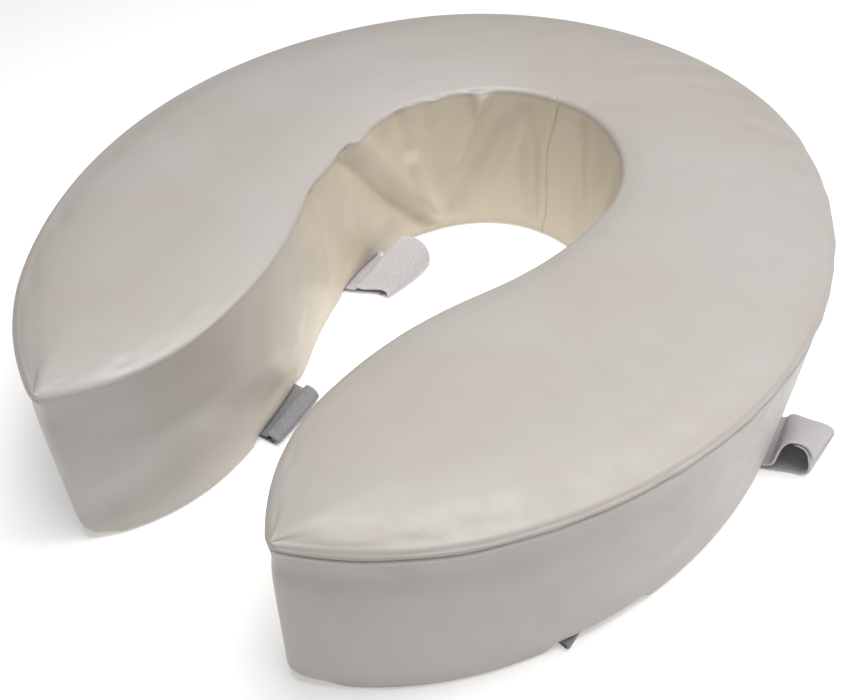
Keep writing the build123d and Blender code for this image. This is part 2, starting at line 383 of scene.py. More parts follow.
def face_outward(piece):
    """Turns all faces of a closed shape the same way. Most shapes come out facing outwards, but
    on a thin folded one the guess can fall inwards."""
    edit = bmesh.new()
    edit.from_mesh(piece.data)
    bmesh.ops.dissolve_degenerate(edit, dist=1e-6, edges=edit.edges)
    bmesh.ops.recalc_face_normals(edit, faces=edit.faces)
    edit.to_mesh(piece.data)
    edit.free()
    piece.data.update()


start_inset = 0.6
cover = closed_tube(
    "cushion_cover",
    horseshoe(rows_per_half, start_inset, 0.0, height - 0.3, top_radius, base_radius),
)
face_outward(cover)
print("cover:", len(cover.data.vertices), "points")

# %% [markdown]
# ## Swelling the cover by cloth simulation
# Vinyl over foam is tight: the foam pushes each panel out between the seams that hold it. A
# crown could be drawn by formula, but a cloth under pressure finds the fuller middles and the
# held edges by itself. The rows beside both seams and the whole base are pinned, and pressure
# swells the rest for twenty frames with gravity off. How far a point may move is capped, and
# close to the edges it may move least.

# %% Swell the cover
swell_pressure = 4.0
swell_frames = 20
swell_cap = 3.0
edge_cap = 0.4
foot_cap = 0.6


def pin_group(piece):
    """Pins the base and the points beside both seams: weight 1 at the seam's height, less
    within 3 mm of it."""
    z = read_points(piece)[:, 2] / MM
    top_line = np.abs(z - (height - top_radius - 0.3))
    pinned = np.maximum(1 - smoothstep(0.6, 3.0, top_line), 1 - smoothstep(4.0, 7.0, z))
    group = piece.vertex_groups.new(name="pinned")
    for weight in np.unique(np.round(pinned, 2)):
        if weight > 0:
            members = np.flatnonzero(np.round(pinned, 2) == weight).tolist()
            group.add(members, float(weight), "REPLACE")


def swell(piece):
    """Runs the cloth and keeps its last shape, each point's move cut to a cap: swell_cap in the
    middle of a panel, edge_cap at the top's edges and foot_cap at the ends of a wall."""
    before = read_points(piece)
    pin_group(piece)
    cloth = piece.modifiers.new("swell", "CLOTH")
    settings = cloth.settings
    settings.quality = 5
    settings.mass = 0.3
    settings.tension_stiffness = 25
    settings.compression_stiffness = 8
    settings.shear_stiffness = 8
    settings.bending_stiffness = 3.0
    settings.air_damping = 2.0
    settings.use_pressure = True
    settings.uniform_pressure_force = swell_pressure
    settings.vertex_group_mass = "pinned"
    settings.effector_weights.gravity = 0
    cloth.point_cache.frame_start = 1
    cloth.point_cache.frame_end = swell_frames
    scene = bpy.context.scene
    for number in range(1, swell_frames + 1):
        scene.frame_set(number)
    apply_modifiers(piece)
    move = read_points(piece) - before
    low = before[:, 2] / MM
    from_edge = np.minimum(*(read_attribute(piece, f"from_{wall}") for wall in ("outer", "inner")))
    crown_cap = edge_cap + (swell_cap - edge_cap) * smoothstep(0, 45, from_edge)
    up_wall = smoothstep(8, 35, low) * smoothstep(2, 20, height - low)
    wall_cap = foot_cap + (swell_cap - foot_cap) * up_wall
    cap = np.where(low > height - 1.5, crown_cap, wall_cap) * MM
    size = np.linalg.norm(move, axis=1)
    move *= np.minimum(1, cap / np.maximum(size, 1e-9))[:, None]
    write_points(piece, before + move)
    scene.frame_set(1)
    print("swell: largest move", round(size.max() / MM, 1), "mm, mean", round(size.mean() / MM, 2))


swell(cover)

# %% [markdown]
# ## Rounding the quads
# One subdivision turns the swollen quads into a smooth skin. It is applied at once, because the
# creases below move single points of the finer mesh.

# %% Subdivide
subdivide = cover.modifiers.new("subdivide", "SUBSURF")
subdivide.levels = 1
subdivide.render_levels = 1
apply_modifiers(cover)
print("cover after subdivision:", len(cover.data.vertices), "points")

# %% [markdown]
# ## Seams, hollows and creases
# The top panel is sewn to the side strip in a plain seam: the turned-in edges make a soft roll
# above the stitches and a thin ridge below them, with a groove between. The strip pulls in a
# little under the seam. Creases run down the inner wall where the strip is eased round its
# tight curve. Each is a bell-shaped dent along a short path of (place along the inner wall,
# height), so they are placed one by one.

# %% Shape helpers
def point_normals(piece):
    """Unit normals at the piece's points."""
    normals = np.empty(len(piece.data.vertices) * 3, np.float32)
    piece.data.vertices.foreach_get("normal", normals)
    return normals.reshape(-1, 3).astype(float)


def bell(value, centre, spread):
    """exp of minus the square of (value - centre) / spread."""
    return np.exp(-(((value - centre) / spread) ** 2))


def distance_to_path(x, y, path):
    """Distance from points (x, y) to a chain of straight runs, the least over the runs."""
    path = np.asarray(path, float)
    best = np.full(x.shape, 1e9)
    for start, end in zip(path[:-1], path[1:]):
        run = end - start
        t = np.clip(((x - start[0]) * run[0] + (y - start[1]) * run[1]) / (run @ run), 0, 1)
        gap = np.hypot(x - start[0] - t * run[0], y - start[1] - t * run[1])
        best = np.minimum(best, gap)
    return best


def waves(place, height_above, seed, count, longest):
    """A sum of count slow sine waves over the wall, each with its own length, lean and phase."""
    random = np.random.default_rng(seed)
    total = np.zeros_like(place)
    for _ in range(count):
        length = longest * random.uniform(0.35, 1.0)
        lean = random.uniform(-0.6, 0.6)
        phase = random.uniform(0, 6.28)
        total += np.sin((place + lean * height_above) * 2 * math.pi / length + phase)
    return total / count


# %% [markdown]
# ## Where the creases lie
# A crease is a path, a spread and a depth. A negative depth is a hollow and a positive one is a
# ridge. Hollows and ridges stand side by side, as they do where cloth is gathered.

# %% Lists of creases
inner_creases = [
    # path of (along the inner wall, height), spread in mm, depth in mm
    (((-148, 93), (-126, 66), (-108, 44), (-76, 10)), 6.0, -3.6),
    (((-134, 93), (-110, 62), (-90, 36), (-70, 16)), 7.0, 2.4),
    (((-89, 60), (-80, 34), (-70, 13)), 5.0, 2.2),
    (((-26, 74), (-34, 52), (-50, 28), (-58, 16)), 7.0, -3.4),
    (((-19, 86), (-13, 52), (-8, 14)), 4.5, -2.4),
    (((-45, 93), (-52, 70), (-60, 48)), 4.5, 2.2),
    (((-74, 97), (-76, 84)), 4.0, 1.6),
    (((-50, 98), (-46, 86)), 3.6, 1.8),
    (((-98, 92), (-92, 66)), 5.0, -1.8),
    (((-360, 20), (-321, 34), (-274, 26), (-242, 6)), 14.0, -3.2),
    (((-335, 64), (-290, 60), (-240, 42)), 13.0, 1.8),
    (((-186, 90), (-170, 60), (-150, 24)), 9.0, -2.0),
    (((16, 88), (24, 52), (30, 16)), 5.0, -1.8),
    (((62, 84), (50, 50), (46, 14)), 7.0, -2.4),
    (((120, 86), (104, 48), (88, 12)), 8.0, -2.4),
    (((250, 40), (300, 50), (340, 30)), 10.0, -2.0),
]
top_creases = [
    # path of (along the outer wall, share of the way in x 100), spread in mm, depth in mm
    (((62, 8), (40, 30), (24, 48)), 3.0, -0.5),
    (((84, 6), (64, 26), (40, 52)), 4.0, 0.45),
    (((100, 8), (86, 22), (70, 34)), 3.0, -0.45),
    (((150, 5), (138, 16), (128, 26)), 3.0, -0.5),
    (((176, 6), (166, 16)), 4.0, -0.4),
    (((28, 92), (44, 84), (56, 80)), 3.5, -0.5),
    (((-30, 10), (-46, 26), (-58, 40)), 4.0, -0.35),
]

# %% [markdown]
# ## Weights over the cover
# Every point knows its place on the flat pattern, so simple products say where each dent acts:
# on the outer wall, on the inner wall, on the top, or close to the points of the arms.

# %% Where each dent acts
top_seam = height - 4.2
base_seam = 3.4

z = read_attribute(cover, "flat_height")
from_outer = read_attribute(cover, "from_outer")
from_inner = read_attribute(cover, "from_inner")
along_outer = read_attribute(cover, "along_outer")
along_inner = read_attribute(cover, "along_inner")
below_top = 1 - smoothstep(height - 3.4, height - 1.2, z)
outer_nearer = smoothstep(-0.5, 0.5, from_inner - from_outer)
inner_nearer = smoothstep(-0.5, 0.5, from_outer - from_inner)
on_outer = smoothstep(6, 2, from_outer) * outer_nearer * below_top
on_inner = smoothstep(6, 2, from_inner) * inner_nearer * below_top
on_top = smoothstep(height - 1.5, height - 0.6, z)
near_point = smoothstep(outer_length - 60, outer_length, np.abs(along_outer))

# %% [markdown]
# ## Adding up the dents
# The seam groove, the ridge under it and the roll over it are bells in height. The strip draws
# in below the seam, and slow waves and the listed creases come on top of that.

# %% Sum of the dents
pucker = waves(along_outer, z, 3, 9, 46.0)
dent = np.zeros_like(z)
seam_line = top_seam + 0.5 * waves(along_outer, 0 * z, 5, 5, 70.0)
for wall, share in ((on_outer, 1.0), (on_inner, 0.15)):
    dent -= wall * share * 0.3 * bell(z, seam_line - 1.0, 0.9)
    dent += wall * share * 0.45 * bell(z, seam_line - 2.6, 1.2)
    dent += wall * share * 0.3 * bell(z, seam_line + 1.4, 1.6)
    dent -= wall * 0.4 * bell(z, base_seam, 1.2) * (1 - near_point)
    dent -= wall * (0.9 + 0.9 * near_point) * bell(z, height - 17, 9.0) * (0.7 + 0.3 * pucker)
dent += on_outer * 0.8 * pucker * bell(z, height - 9, 9.0) * smoothstep(40, 220, along_outer)
soft_waves = waves(along_inner, z, 8, 9, 60.0) * bell(z, 60, 26)
dent += on_inner * 1.2 * soft_waves * (1 - smoothstep(240, 320, np.abs(along_inner)))
for path, spread, depth in inner_creases:
    crease = depth * bell(distance_to_path(along_inner, z, path), 0, spread)
    dent += on_inner * 1.35 * crease * smoothstep(3, 18, z)
closing_line = 1.8 * np.sin(z / 13.0)
dent += on_inner * 0.8 * bell(along_inner, closing_line - 4.0, 2.5) * smoothstep(4, 8, z)
across_arm = from_outer / np.maximum(from_outer + from_inner, 1)
for path, spread, depth in top_creases:
    gap = distance_to_path(along_outer, across_arm * 100, path)
    dent += on_top * depth * bell(gap, 0, spread)
point_attribute(cover, "seam_gap", z - seam_line + 1.0)
closing_gap = along_inner - closing_line
point_attribute(cover, "closing_gap", closing_gap + 40 * (1 - on_inner) * np.sign(closing_gap))

# %% [markdown]
# ## Pressing them in
# The dents move the points along their normals. Then the top's edges sink a little, which
# rounds them, and the foot of each point is tucked in by a quarter circle.

# %% Press the cover
points = read_points(cover) + point_normals(cover) * (dent * MM)[:, None]
sink = np.maximum(
    1.6 * (1 - smoothstep(0, 24, from_outer)), 1.3 * (1 - smoothstep(0, 20, from_inner))
)
sink *= smoothstep(height - 7, height, z)
points[:, 2] -= sink * MM

tuck_radius = 10.0
below = np.clip(tuck_radius - z, 0, tuck_radius)
tuck = (tuck_radius - np.sqrt(tuck_radius**2 - below**2)) * MM
tuck = tuck * 0.8 * smoothstep(outer_length - 30, outer_length, np.abs(along_outer))
points[:, 0] += tuck * 0.25 * np.sign(points[:, 0])
points[:, 1] += tuck
write_points(cover, points)
print("dents from", round(dent.min(), 2), "to", round(dent.max(), 2), "mm")

# %% [markdown]
# ## Channels under the straps
# Four tapes are sewn flat under the base and cross it from wall to wall. The foam gives way
# over them, so the base rises there in a shallow channel with soft sides, and the feet of the
# walls lift with it.

# %% Strap stations
tape_width = 38.0
half_across = tape_width / 2
half_thickness = 0.75
tape_step = 1.9
run_height = 0.95
sewn_height = 3.25
channel_lift = 4.7
channel_reach = 16.0
channel_flat = 21.5
channel_edge = 27.5
stations = {"rear": ((126.0, 23.0), 5.0), "front": ((96.0, -105.0), 172.0)}


def strap_frame(side, station):
    """Plan origin, direction along the tape to its closing side, and direction across it."""
    (x, y), heading = stations[station]
    along = np.array([side * math.cos(math.radians(heading)), math.sin(math.radians(heading))])
    across = np.array([along[1], -along[0]])
    return np.array([side * x, y + plan_shift]), along, across


strap_frames = {
    f"{side_name}_{station}": strap_frame(side, station)
    for side_name, side in (("right", 1.0), ("left", -1.0))
    for station in stations
}


def crossing(name):
    """How far the arm reaches each way along a tape, over the tape's whole width."""
    origin, along, across = strap_frames[name]
    side = np.sign(origin[0])
    walls = np.concatenate([outer_path, inner_path]) * (side, 1) - origin
    inside = np.abs(walls @ across) < half_across
    reach = walls[inside] @ along
    return reach.min(), reach.max()


def press_channels(points, lift):
    """Raises the foot of a shape over each tape by lift, less with height and not at all above
    channel_reach, with sides that slope from channel_flat to channel_edge."""
    raised = points.copy()
    share = np.zeros(len(points))
    for name, (origin, along, across) in strap_frames.items():
        place = points[:, :2] / MM - origin
        reach_low, reach_high = crossing(name)
        across_share = 1 - smoothstep(channel_flat, channel_edge, np.abs(place @ across))
        reach = place @ along
        along_share = (reach > reach_low - 12) & (reach < reach_high + 12)
        share = np.maximum(share, across_share * along_share)
    z = points[:, 2] / MM
    raised[:, 2] += lift * MM * share * np.clip(1 - z / channel_reach, 0, 1)
    return raised


write_points(cover, press_channels(read_points(cover), channel_lift))
print("channels:", len(strap_frames), "pressed", channel_lift, "mm into the base")

# %% [markdown]
# ## The foam
# The block is the same horseshoe, cut smaller. Its points are drawn back from the cover's, where
# a real block is trimmed to fill the corner without a lump. Nobody sees it until the cover is
# taken off, so it only needs its shape and its cells.

# %% The foam block
foam_rows = 70
foam_inset = 9.0
foam_bottom = 6.0
foam_top = height - 8.0
foam_pull = 16.0

foam = closed_tube(
    "foam_block",
    horseshoe(foam_rows, foam_inset, foam_bottom, foam_top, 4.0, 3.0, foam_pull),
)
face_outward(foam)
write_points(foam, press_channels(read_points(foam), channel_lift + 1.0))
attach(cover, "cushion")
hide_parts("top_cover", "side_cover", "base_cover")
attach(foam, "cushion")
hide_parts("foam_core")

# %% [markdown]
# ## Tapes as woven strips
# A tape is a flat strip that bends along its length. Its middle line is worked out separately
# at each place across the width, so one edge of a loop may stand higher than the other, as a
# slack tape does. The strip is then thickened along its own normals, with rounded selvages.

# %% Tape strips
def bend_through(stops, count=14):
    """A smooth line through stops of (along, height, direction along, direction up): a cubic
    Hermite run between neighbours, its speeds 1.17 times the chord, as a quarter circle's are."""
    line = [np.array([stops[0][:2]], float)]
    for first, last in zip(stops[:-1], stops[1:]):
        a, b = np.array(first[:2], float), np.array(last[:2], float)
        t = np.linspace(0, 1, count + 1)[1:, None]
        chord = np.hypot(*(b - a))
        speeds = [1.17 * chord * np.array(s[2:]) / np.hypot(*s[2:]) for s in (first, last)]
        line.append(
            (2 * t**3 - 3 * t**2 + 1) * a + (t**3 - 2 * t**2 + t) * speeds[0]
            + (3 * t**2 - 2 * t**3) * b + (t**3 - t**2) * speeds[1]
        )
    return np.concatenate(line)


def line_normals(line):
    """Unit normals on the left of a line's direction."""
    step = np.gradient(line, axis=0)
    step /= np.linalg.norm(step, axis=1)[:, None]
    return np.stack([-step[:, 1], step[:, 0]], axis=1)


near_edge = np.array([0.0, 0.2, 0.8, 2.0])
across_places = np.concatenate([
    near_edge - half_across, np.linspace(4 - half_across, half_across - 4, 13),
    (half_across - near_edge)[::-1],
])
rounding = np.clip(np.abs(across_places) - half_across + 1, 0, 1)
selvage = np.sqrt(1 - rounding**2)


def share_across(places):
    """Places across the tape, in mm from its middle, as shares from 0 to 1."""
    return (places + half_across) / tape_width


def tape_strip(name, strap, lines, rows, drift):
    """A closed strip. lines(share) gives the middle line at each share of the way across, from
    0 to 1; every line is resampled to the same rows. drift(along, across) moves the tape
    sideways. Top and bottom surfaces lie half a thickness to each side along the normals, the
    thickness falling to nothing at both ends and both selvages."""
    origin, along, across = strap_frames[strap]
    middle, normal = [], []
    for share in share_across(across_places):
        line = lines(share)
        line = resample(line, np.linspace(0, path_length(line)[-1], rows))
        middle.append(line)
        normal.append(line_normals(line))
    middle, normal = np.stack(middle, 1), np.stack(normal, 1)
    length = path_length(middle[:, len(across_places) // 2])
    end = np.minimum(length, length[-1] - length)
    thick = half_thickness * np.sqrt(np.clip(1 - (1 - np.clip(end / 0.8, 0, 1)) ** 2, 0, 1))
    thick = thick[:, None, None] * selvage[None, :, None]
    sheet_sides = [middle + normal * thick, (middle - normal * thick)[:, -2:0:-1]]
    ring = np.concatenate(sheet_sides, axis=1)
    places = np.concatenate([across_places, across_places[-2:0:-1]])
    sideways = places[None, :] + drift(ring[:, :, 0], places[None, :])
    plan = origin + ring[:, :, :1] * along + sideways[:, :, None] * across
    grid = np.concatenate([plan, ring[:, :, 1:]], axis=2)
    piece = mesh_piece(name, grid.reshape(-1, 3) * MM, grid_faces(rows, len(places), closed=True))
    point_attribute(piece, "tape_along", np.broadcast_to(length[:, None], grid.shape[:2]))
    point_attribute(piece, "tape_across", np.broadcast_to(places, grid.shape[:2]))
    weld = piece.modifiers.new("weld", "WELD")
    weld.merge_threshold = 0.01 * MM
    apply_modifiers(piece)
    face_outward(piece)
    return piece


# %% [markdown]
# ## How each loop lies
# Each strap has two tapes. The long one is sewn under the base, comes out past one wall, turns
# over and runs back along the floor to the other side. The short hook tab is sewn on that side
# and closes down over it. A slack loop is never level: each one is given by how high and how
# far it stands at its two edges and in its middle, in mm.

# %% Heights and reaches
fold_side = {
    # heights and reaches of the folded loop at its first edge, its middle and its second edge
    "right_rear": ((20.0, 17.0, 12.0), (21.0, 22.5, 22.0)),
    "left_rear": ((4.6, 16.0, 22.5), (22.5, 25.5, 25.0)),
    "right_front": None,
    "left_front": None,
}
closing_side = {
    # the same of the closed loop
    "right_rear": ((8.5, 15.5, 23.6), (27.0, 24.0, 21.0)),
    "left_rear": ((19.5, 18.5, 16.0), (21.0, 22.5, 23.0)),
    "right_front": ((11.0, 12.5, 13.5), (12.0, 13.5, 14.5)),
    "left_front": ((9.0, 7.8, 6.6), (12.0, 12.0, 10.0)),
}
fold_push = {
    # how much further a flat fold reaches
    "right_rear": (0.0, 0.0, 0.0),
    "left_rear": (0.0, 0.0, 0.0),
    "right_front": (5.5, 3.0, 0.0),
    "left_front": (0.0, 2.0, 4.0),
}
side_drift = {
    # sideways moves beyond the folding wall and beyond the closing wall
    "right_rear": ((-4.0, -4.0, -4.0), (-1.0, -3.0, -6.0)),
    "left_rear": ((12.0, 12.0, 11.0), (2.0, 2.5, 3.0)),
    "right_front": ((0.0, 0.0, 0.0), (1.0, 1.2, 1.5)),
    "left_front": ((0.0, 0.0, 0.0), (3.0, 2.5, 2.0)),
}


def between(values, share):
    """The value at share of the way across, on the parabola through three values at its
    start, middle and end."""
    first, middle, last = values
    return (
        first * (1 - share) * (1 - 2 * share)
        + middle * 4 * share * (1 - share)
        + last * share * (2 * share - 1)
    )


# %% [markdown]
# ## The middle lines of one strap
# Seen from the side, each tape is one bent line. Few stops with directions are enough, since a
# tape bends in even curves. The fold of the free run is read from its imported joint.

# %% Strap lines
crown_share = 0.45
tip_share = 0.6
tab_sewn_length = 32.0


def tab_line(strap, share):
    """The hook tab as two lines: its rise, from under the base past the wall to its crown, and
    its fall to its tip."""
    wall = crossing(strap)[1]
    heights, reaches = closing_side[strap]
    tall, reach = between(heights, share) - half_thickness, between(reaches, share)
    rise = bend_through([
        (wall - tab_sewn_length, sewn_height, 1, 0),
        (wall - 2, sewn_height, 1, 0),
        (wall + min(3.6, 0.25 * reach), sewn_height + 2.6, 0.12, 1),
        (wall + crown_share * reach, tall, 1, 0),
    ])
    fall = bend_through([
        (wall + crown_share * reach, tall, 1, 0),
        (wall + reach - 1, tip_share * (tall + half_thickness), 0.35, -1),
    ])
    return rise, fall


def fold_line(strap):
    """Where the run's fold line crosses the floor, along the tape, read from its joint."""
    origin, along, across = strap_frames[strap]
    joint = next(j for j in frame["joints"] if j["name"] == f"{strap}_strap_drop")
    place = np.array(joint["pos_m"]) / MM
    return (place[:2] - origin) @ along


def run_start(strap, share):
    """Where the sewn tape hands over to the free run, just short of the fold line."""
    return fold_line(strap) - 1.15 - between(fold_push[strap], share)


def run_line(strap, share):
    """The free run: along the floor from the fold, up at the far side, and back under the
    tab, one tape's step inside it."""
    fall = tab_line(strap, share)[1]
    inside = fall - line_normals(fall) * tape_step
    wall = crossing(strap)[1]
    outer = wall + between(closing_side[strap][1], share) - half_thickness
    start = run_start(strap, share)
    floor_run = bend_through([
        (start, run_height, 1, 0),
        (outer - 5, run_height, 1, 0),
        (outer, run_height + 4.5, 0, 1),
        (*inside[-1], *(fall[-2] - fall[-1])),
    ])
    return np.concatenate([floor_run, inside[-2::-1]])


def sewn_line(strap, share):
    """The long tape's sewn end: under the base to the folding wall, and round its fold to
    where the free run starts."""
    low_wall, high_wall = crossing(strap)
    start = run_start(strap, share)
    if fold_side[strap] is None:
        bend = (sewn_height - run_height) / 2
        return bend_through([
            (high_wall - tab_sewn_length - 2, sewn_height, -1, 0),
            (start, sewn_height, -1, 0),
            (start - bend, run_height + bend, 0, -1),
            (start, run_height, 1, 0),
        ])
    heights, reaches = fold_side[strap]
    tall, reach = between(heights, share) - half_thickness, between(reaches, share)
    outer = low_wall - reach + half_thickness
    return bend_through([
        (high_wall - tab_sewn_length - 2, sewn_height, -1, 0),
        (low_wall + 2, sewn_height, -1, 0),
        (low_wall - 3.8, sewn_height + min(2.6, 0.3 * tall), -0.3, 1),
        (low_wall - 0.34 * reach, tall, -1, -0.05),
        (outer, run_height + max(0.42 * tall, 1.2), 0, -1),
        (outer + 5, run_height, 1, 0),
        (max(start, outer + 5.5), run_height, 1, 0),
    ])


def strap_drift(strap):
    """Eases the tape sideways beyond each wall."""
    low_wall, high_wall = crossing(strap)
    fold_move, closing_move = side_drift[strap]
    return lambda along, places: (
        between(fold_move, share_across(places))
        * smoothstep(-low_wall - 6, -low_wall + 20, -along)
        + between(closing_move, share_across(places))
        * smoothstep(high_wall - 6, high_wall + 18, along)
    )


# %% [markdown]
# ## Sewing on the four straps
# The three lines of each strap become strips. The sewn end stays with the cushion. The tab is
# bent over its crown and the run just beyond its fold, and both stay fixed in place.

# %% Make the straps
def whole_tab(strap, share):
    """The tab's rise and fall as one line."""
    rise, fall = tab_line(strap, share)
    return np.concatenate([rise, fall[1:]])


tapes = {}
for strap, (origin, along, across) in strap_frames.items():
    drift = strap_drift(strap)
    tab = tape_strip(f"{strap}_tab", strap, lambda share: whole_tab(strap, share), 60, drift)
    sewn = tape_strip(
        f"{strap}_sewn_tape", strap, lambda share: sewn_line(strap, share), 90, drift
    )
    run = tape_strip(f"{strap}_run", strap, lambda share: run_line(strap, share), 110, drift)
    tapes[strap] = (tab, sewn, run)
    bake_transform(tab)
    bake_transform(run)
    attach(sewn, "cushion")
    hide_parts(f"{strap}_tab_sewn_end", f"{strap}_tab_free_end")
    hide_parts(f"{strap}_strap_sewn_end")
    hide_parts(f"{strap}_strap_free_run")
print("tapes:", sum(len(t.data.vertices) for three_tapes in tapes.values() for t in three_tapes))

# %% [markdown]
# ## Stitches
# The tapes are held by a box of stitches with a cross in it. A dashed line in the material
# would look flat from the side, so each stitch is a short thread that dips at both ends: a thin
# tube whose ends sink, copied along straight rows.

# %% Stitched boxes
stitch_pitch = 3.4
stitch_radius = 0.28


def stitch_row(start, end):
    """The middles and direction of the stitches that fit between two plan points."""
    start, end = np.asarray(start, float), np.asarray(end, float)
    count = max(int(np.hypot(*(end - start)) / stitch_pitch), 1)
    share = (np.arange(count) + 0.5) / count
    direction = (end - start) / np.hypot(*(end - start))
    return [(start + (end - start) * t, direction) for t in share]


def stitch_tube(middle, direction):
    """One stitch in (along, across, height) as a ring grid: radius r sqrt(1 - t^4) and height
    sinking by t^4, with t from -1 to 1 along it."""
    t = np.linspace(-1, 1, 7)
    angle = np.linspace(0, 2 * math.pi, 6, endpoint=False)
    radius = stitch_radius * np.sqrt(np.clip(1 - t**4, 0.05, 1))
    side = radius[:, None] * np.cos(angle)
    up = radius[:, None] * np.sin(angle) + sewn_height - half_thickness - 0.1 + 0.25 * t[:, None] ** 4
    level = middle + direction * t[:, None] * stitch_pitch * 0.42
    normal = np.array([-direction[1], direction[0]])
    plan = level[:, None, :] + side[:, :, None] * normal
    return np.concatenate([plan, up[:, :, None]], axis=2)


def stitched_box(start, length, half=14.0):
    """The rows of a box and its cross, from start along the tape."""
    a, b = start, start + length
    corners = [(a, -half), (b, -half), (b, half), (a, half)]
    rows = [(corners[k], corners[(k + 1) % 4]) for k in range(4)]
    rows += [(corners[0], corners[2]), (corners[1], corners[3])]
    return [stitch for row in rows for stitch in stitch_row(*row)]


def stitching(strap):
    """All stitches of a strap as one mesh, each closed by a six-sided cap at both ends."""
    origin, along, across = strap_frames[strap]
    low_wall, high_wall = crossing(strap)
    sewn_start = max(low_wall, fold_line(strap) - 1.15) + 5
    middles = stitched_box(sewn_start, 38) + stitched_box(high_wall - 27, 22)
    points, faces = [], []
    for middle, direction in middles:
        grid = stitch_tube(middle, direction).reshape(-1, 3)
        plan = origin + grid[:, :1] * along + grid[:, 1:2] * across
        start = 42 * len(points)
        points.append(np.concatenate([plan, grid[:, 2:]], axis=1))
        faces += grid_faces(7, 6, closed=True, start=start).tolist()
        faces += [list(range(start + 5, start - 1, -1)), list(range(start + 36, start + 42))]
    piece = mesh_piece(f"{strap}_stitches", np.concatenate(points) * MM, faces)
    face_outward(piece)
    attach(piece, "cushion")
    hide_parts(f"{strap}_strap_stitching")
    return piece


stitches = [stitching(strap) for strap in strap_frames]
print("stitches:", sum(len(s.data.vertices) // 42 for s in stitches))

# %% [markdown]
# ## Materials as small graphs
# Every finish here is a procedural one: noise, waves or cells in the object's own space, or a
# number stored on the piece. A few helpers keep each graph short enough to read.

# %% Material helpers
def new_material(name, roughness, specular=0.5):
    """A material with a principled shader, and the parts that the cells below add to."""
    material = bpy.data.materials.new(name)
    material.use_nodes = True
    tree = material.node_tree
    shader = tree.nodes["Principled BSDF"]
    shader.inputs["Roughness"].default_value = roughness
    shader.inputs["Specular IOR Level"].default_value = specular
    return material, tree, shader


def add_node(tree, kind, settings=None, **inputs):
    """A node of this kind with its settings and its input values, named by the input or by i
    and its number; a value that is a socket is linked."""
    node = tree.nodes.new(kind)
    for key, value in (settings or {}).items():
        setattr(node, key, value)
    for key, value in inputs.items():
        numbered = key[0] == "i" and key[1:].isdigit()
        socket = node.inputs[int(key[1:]) if numbered else key]
        if isinstance(value, bpy.types.NodeSocket):
            tree.links.new(value, socket)
        else:
            socket.default_value = value
    return node


def maths(tree, operation, first, second=0.0):
    """One arithmetic step on numbers or sockets."""
    node = add_node(tree, "ShaderNodeMath", {"operation": operation}, i0=first, i1=second)
    return node.outputs[0]


def noise(tree, coordinate, scale, detail=3.0, rough=0.55):
    """A cloud of values from 0 to 1 in object space, scale features to the metre."""
    node = add_node(
        tree, "ShaderNodeTexNoise", None,
        Vector=coordinate, Scale=scale, Detail=detail, Roughness=rough,
    )
    return node.outputs["Fac"]


def stretch(tree, value, low, high, to_low=0.0, to_high=1.0):
    """value from low..high to to_low..to_high, held at the ends."""
    node = add_node(
        tree, "ShaderNodeMapRange", {"interpolation_type": "SMOOTHSTEP"},
        i0=value, i1=low, i2=high, i3=to_low, i4=to_high,
    )
    return node.outputs[0]


def blend_colours(tree, share, first, second):
    """A mix of two colours or colour sockets."""
    node = add_node(
        tree, "ShaderNodeMix", {"data_type": "RGBA"}, i0=share, i6=first, i7=second
    )
    return node.outputs[2]


def stored(tree, name):
    """A piece's own stored number."""
    return add_node(tree, "ShaderNodeAttribute", {"attribute_name": name}).outputs["Fac"]


def bump(tree, height_value, distance, strength=1.0, below=None):
    """A bump of this height in metres, on top of another one."""
    inputs = {"Strength": strength, "Distance": distance, "Height": height_value}
    if below is not None:
        inputs["Normal"] = below
    return add_node(tree, "ShaderNodeBump", None, **inputs).outputs[0]


def colour(red, green, blue):
    """A display colour from 0 to 255 as linear light."""
    share = np.array([red, green, blue]) / 255
    linear = np.where(share <= 0.04045, share / 12.92, ((share + 0.055) / 1.055) ** 2.4)
    return (*linear.tolist(), 1.0)


# %% [markdown]
# ## Vinyl
# Upholstery vinyl is a satin skin with a very fine pebble grain over a knit. It is cream with
# faint warm clouds and patches. The wall of the opening is painted a lighter, yellower cream:
# painted bounce light from the cream walls round the opening. The foot of the walls is painted
# darker towards the floor. The grain is cells and noise, since a bump that fine would be millions
# of faces as geometry.

# %% Vinyl material
def narrow_line(tree, name, half):
    """1 where the piece's stored distance is near 0, falling to 0 at half, in mm."""
    return stretch(tree, maths(tree, "ABSOLUTE", stored(tree, name)), half * 0.25, half, 1.0, 0.0)


